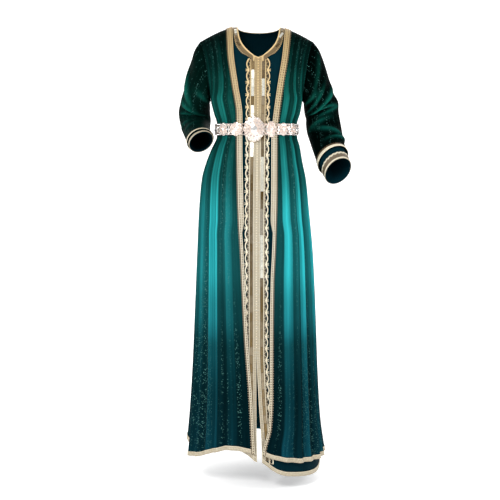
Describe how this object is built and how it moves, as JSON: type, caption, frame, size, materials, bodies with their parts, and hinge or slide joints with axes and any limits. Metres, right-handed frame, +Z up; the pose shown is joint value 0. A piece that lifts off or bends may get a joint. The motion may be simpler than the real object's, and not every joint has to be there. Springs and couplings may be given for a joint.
{
  "type": "two-layer kaftan with its belt",
  "caption": "Long two-layer kaftan in its worn form: striped silk over plain silk, open sleeves, gold braids and a jewelled belt.",
  "frame": {"origin": "the middle of the neck opening at the height of the shoulders beside the neck, where the wearer's shoulders hold it up", "axes": "+Z up along the garment's length, the front faces -Y, the wearer's right is -X"},
  "size_m": [0.5722, 0.3948, 1.4786],
  "materials": {
    "striped_silk": "satin and sheer stripes",
    "plain_silk": "smooth silk",
    "gold_braid": "woven metallic thread",
    "brown_braid": "woven metallic thread",
    "mirror_strip": "braid set with bar mirrors",
    "belt_metal": "polished, set with stones"
  },
  "bodies": {
    "root": {"belt_floret_1": "belt_metal", "belt_floret_2": "belt_metal", "belt_floret_3": "belt_metal", "belt_floret_4": "belt_metal", "belt_floret_5": "belt_metal", "belt_medallion": "belt_metal", "belt_strap": "belt_metal", "braid_left": "gold_braid", "braid_right": "gold_braid", "centre_band_left": "gold_braid", "centre_band_right": "gold_braid", "galloon_left": "gold_braid", "galloon_neck": "gold_braid", "galloon_right": "gold_braid", "mirror_strip_left": "mirror_strip", "mirror_strip_right": "mirror_strip", "neck_band_back": "brown_braid", "neck_band_left": "brown_braid", "neck_band_right": "brown_braid", "over_back": "striped_silk", "over_cuff_left": "gold_braid", "over_cuff_right": "gold_braid", "over_front_left": "striped_silk", "over_front_right": "striped_silk", "over_hem_back": "gold_braid", "over_hem_left": "gold_braid", "over_hem_right": "gold_braid", "over_sleeve_left": "striped_silk", "over_sleeve_right": "striped_silk", "picot_braid_left": "gold_braid", "picot_braid_right": "gold_braid", "under_back": "plain_silk", "under_cuff_left": "gold_braid", "under_cuff_right": "gold_braid", "under_front_left": "plain_silk", "under_front_right": "plain_silk", "under_hem_back": "gold_braid", "under_hem_left": "gold_braid", "under_hem_right": "gold_braid", "under_sleeve_left": "plain_silk", "under_sleeve_right": "plain_silk"}
  },
  "joints": []
}
